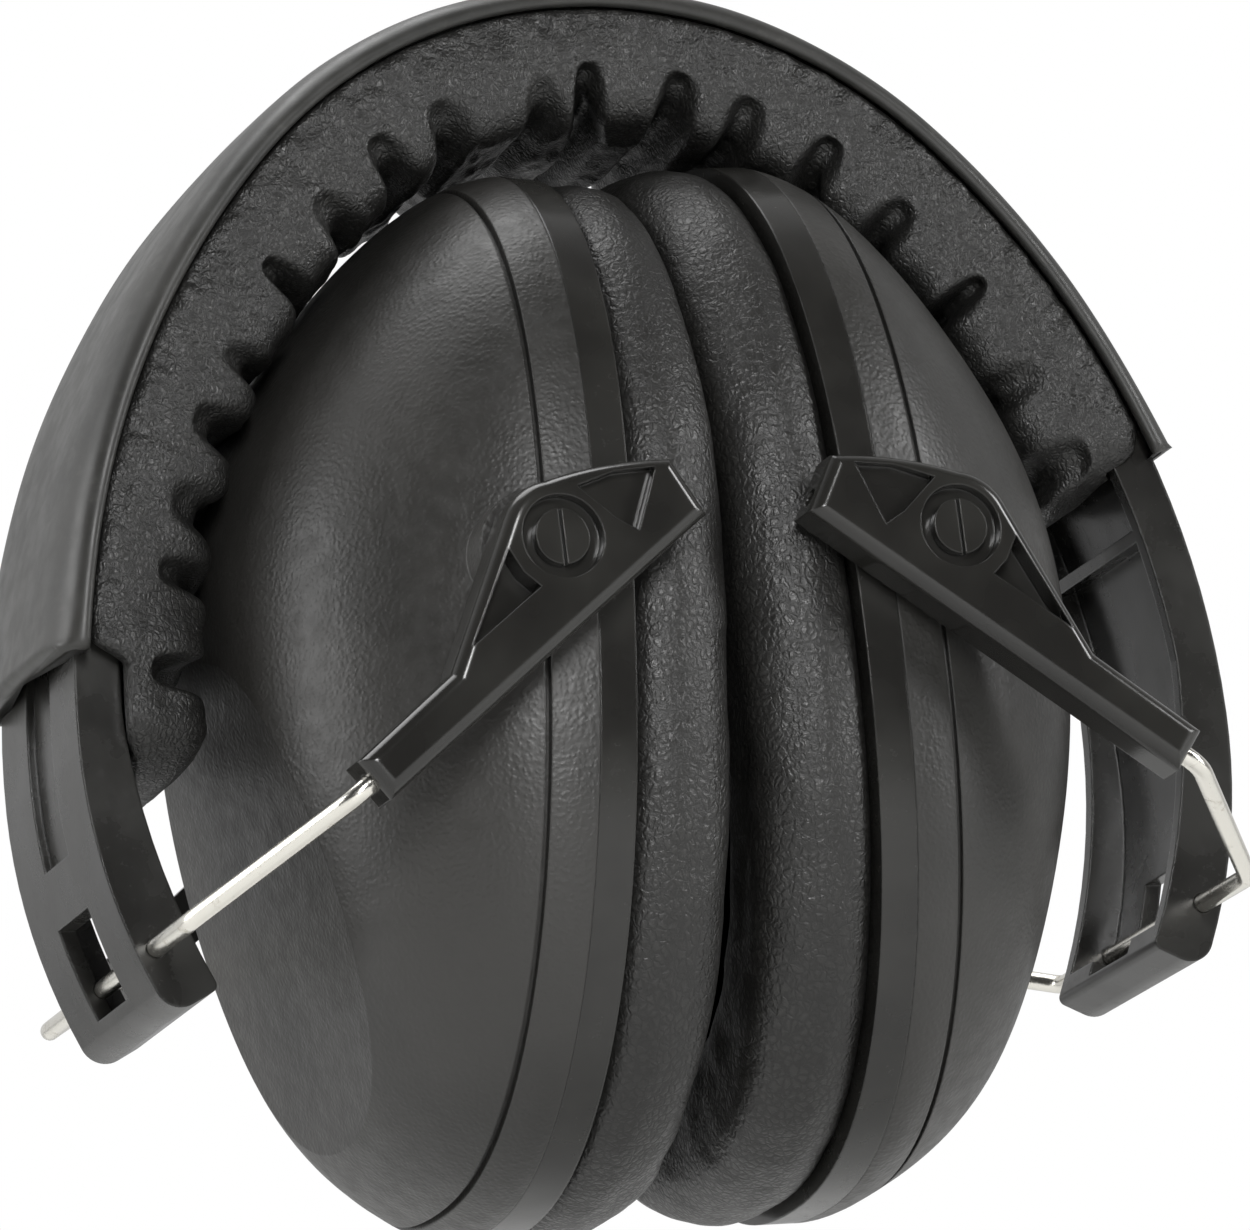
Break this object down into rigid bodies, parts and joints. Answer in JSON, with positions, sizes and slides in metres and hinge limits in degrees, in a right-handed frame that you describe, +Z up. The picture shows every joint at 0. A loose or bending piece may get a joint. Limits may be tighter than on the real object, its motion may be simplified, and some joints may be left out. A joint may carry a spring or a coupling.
{
  "type": "earmuff hearing protector",
  "caption": "Folding earmuff hearing protector, stored folded: padded spring headband, two wire yokes and two foam-lined ear cups with soft sealing cushions.",
  "frame": {"origin": "on the line between the two cups, level with the lowest point of the folded earmuff, midway front to back", "axes": "+Z up towards the crown of the headband, +X towards the right-hand cup, -Y is the front, where the arm heads face forward"},
  "size_m": [0.1226, 0.087, 0.1246],
  "materials": {
    "band_plastic": "satin moulded black nylon",
    "cover_vinyl": "soft satin black elastomer sleeve",
    "strip_plastic": "thin dark strip",
    "foam": "dark open-cell foam",
    "pad_vinyl": "wrinkled soft black vinyl",
    "spring_wire": "nickel-plated spring wire",
    "arm_plastic": "glossy moulded black",
    "pin_plastic": "semi-gloss moulded black",
    "shell_plastic": "fine pebble-textured black",
    "plate_plastic": "glossy moulded black",
    "cushion_vinyl": "grained black leatherette",
    "liner_foam": "charcoal acoustic foam"
  },
  "bodies": {
    "headband": {"headband": "band_plastic", "headband_cover": "cover_vinyl", "pad_backing": "strip_plastic", "pad_foam": "foam", "headband_pad": "pad_vinyl"},
    "left_yoke": {"left_wire_yoke": "spring_wire"},
    "left_arms": {"left_front_arm": "arm_plastic", "left_rear_arm": "arm_plastic"},
    "left_pivots": {"left_front_pivot_pin": "pin_plastic", "left_rear_pivot_pin": "pin_plastic"},
    "left_cup": {"left_cup_shell": "shell_plastic", "left_seal_plate": "plate_plastic", "left_ear_cushion": "cushion_vinyl", "left_cushion_foam": "foam", "left_cup_liner": "liner_foam"},
    "right_yoke": {"right_wire_yoke": "spring_wire"},
    "right_arms": {"right_front_arm": "arm_plastic", "right_rear_arm": "arm_plastic"},
    "right_pivots": {"right_front_pivot_pin": "pin_plastic", "right_rear_pivot_pin": "pin_plastic"},
    "right_cup": {"right_cup_shell": "shell_plastic", "right_seal_plate": "plate_plastic", "right_ear_cushion": "cushion_vinyl", "right_cushion_foam": "foam", "right_cup_liner": "liner_foam"}
  },
  "joints": [
    {"name": "left_fold", "type": "hinge", "parent": "headband", "child": "left_yoke", "pos_m": [-0.055, 0, 0.027], "axis": [0, 1, 0], "range_deg": [0, 105], "deforming": ["left_ear_cushion", "left_cushion_foam", "right_ear_cushion", "right_cushion_foam"]},
    {"name": "left_adjust", "type": "slide", "parent": "left_yoke", "child": "left_arms", "axis": [0.7997, 0, 0.6004], "range_m": [0, 0.012], "deforming": ["left_ear_cushion", "left_cushion_foam", "right_ear_cushion", "right_cushion_foam", "headband_pad", "pad_foam"]},
    {"name": "left_upright", "type": "hinge", "parent": "left_arms", "child": "left_pivots", "pos_m": [-0.0205, 0, 0.0584], "axis": [0, 1, 0], "range_deg": [-105, 0]},
    {"name": "left_tilt", "type": "hinge", "parent": "left_pivots", "child": "left_cup", "pos_m": [-0.0205, 0, 0.0584], "axis": [0, 1, 0], "range_deg": [-13.3, 2.7], "deforming": ["left_ear_cushion", "left_cushion_foam", "right_ear_cushion", "right_cushion_foam", "headband_pad", "pad_foam"]},
    {"name": "right_fold", "type": "hinge", "parent": "headband", "child": "right_yoke", "pos_m": [0.055, 0, 0.027], "axis": [0, -1, 0], "range_deg": [0, 105], "deforming": ["left_ear_cushion", "left_cushion_foam", "right_ear_cushion", "right_cushion_foam"]},
    {"name": "right_adjust", "type": "slide", "parent": "right_yoke", "child": "right_arms", "axis": [-0.7997, 0, 0.6004], "range_m": [0, 0.012], "deforming": ["left_ear_cushion", "left_cushion_foam", "right_ear_cushion", "right_cushion_foam", "headband_pad", "pad_foam"]},
    {"name": "right_upright", "type": "hinge", "parent": "right_arms", "child": "right_pivots", "pos_m": [0.0205, 0, 0.0584], "axis": [0, -1, 0], "range_deg": [-105, 0]},
    {"name": "right_tilt", "type": "hinge", "parent": "right_pivots", "child": "right_cup", "pos_m": [0.0205, 0, 0.0584], "axis": [0, -1, 0], "range_deg": [-8, 8], "deforming": ["left_ear_cushion", "left_cushion_foam", "right_ear_cushion", "right_cushion_foam", "headband_pad", "pad_foam"]}
  ],
  "couplings": [
    {"joint": "left_upright", "follows": "left_fold", "ratio": -1},
    {"joint": "right_upright", "follows": "right_fold", "ratio": -1}
  ]
}
